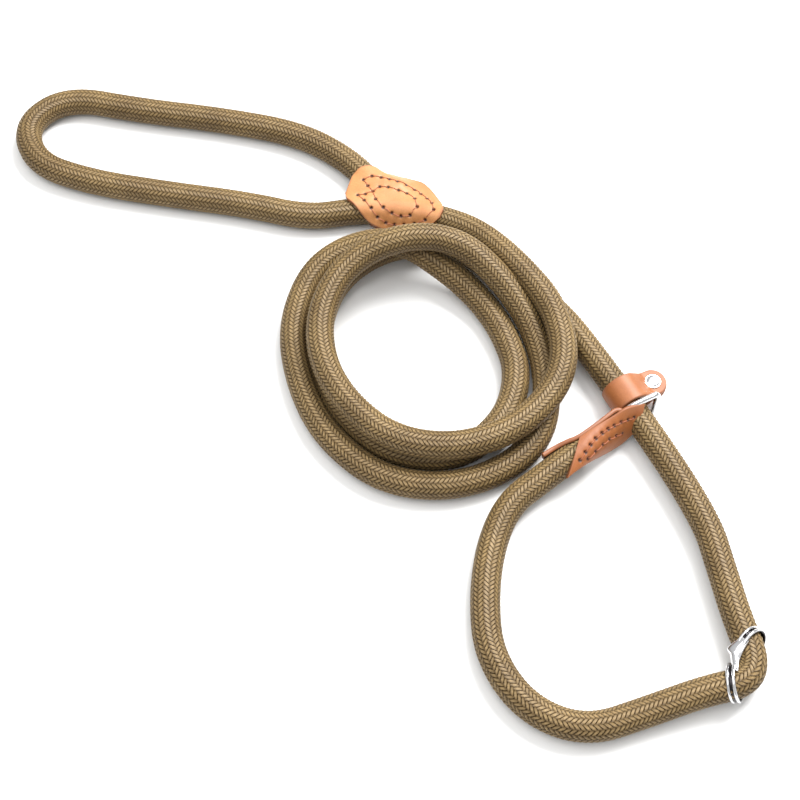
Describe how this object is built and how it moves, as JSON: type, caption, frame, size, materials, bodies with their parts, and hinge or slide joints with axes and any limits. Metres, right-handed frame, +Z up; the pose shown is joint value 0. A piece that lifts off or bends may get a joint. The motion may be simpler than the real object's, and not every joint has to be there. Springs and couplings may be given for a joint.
{
  "type": "slip lead",
  "caption": "Rope training leash laid out in loose coils: sewn handle loop, and a noose with a leather end cap on a slip ring, a leather stopper and a metal size limiter.",
  "frame": {"origin": "centre of the handle patch's underside, on the surface the leash lies on", "axes": "+Z up from that surface; +Y from the noose towards the handle; +X from the handle loop towards the lead"},
  "size_m": [0.3264, 0.3189, 0.0344],
  "materials": {
    "rope_braid": "herringbone braid, slight sheen",
    "tan_leather": "natural smooth",
    "thread": "waxed",
    "chrome": "polished"
  },
  "bodies": {
    "rope": {"rope_handle": "rope_braid", "rope_coil": "rope_braid", "rope_lead": "rope_braid", "rope_lead_end": "rope_braid", "rope_noose": "rope_braid", "handle_patch_top": "tan_leather", "handle_patch_bottom": "tan_leather", "handle_patch_stitching": "thread"},
    "limiter": {"rope_bight": "rope_braid", "size_limiter": "chrome"},
    "slip_end": {"end_cap": "tan_leather", "end_cap_stitching": "thread"},
    "slip_ring": {"slip_ring": "chrome"},
    "stopper": {"stopper_strap": "tan_leather", "rivet_cap": "chrome", "rivet_base": "chrome"}
  },
  "joints": [
    {"name": "stopper_slide", "type": "slide", "parent": "rope", "child": "stopper", "axis": [-0.4611, 0.8873, 0], "range_m": [0, 0.016]},
    {"name": "noose_tighten", "type": "slide", "parent": "rope", "child": "slip_end", "axis": [0.4611, -0.8873, 0], "range_m": [0, 0.034], "deforming": ["rope_noose"]},
    {"name": "ring_swing", "type": "hinge", "parent": "slip_end", "child": "slip_ring", "pos_m": [0.09303, -0.11552, 0.0096], "axis": [0, 0, -1], "range_deg": [0, 25]},
    {"name": "limiter_slide", "type": "slide", "parent": "rope", "child": "limiter", "axis": [-0.23, 0.9732, 0], "range_m": [0, 0.012], "deforming": ["rope_noose", "rope_lead_end"]}
  ]
}
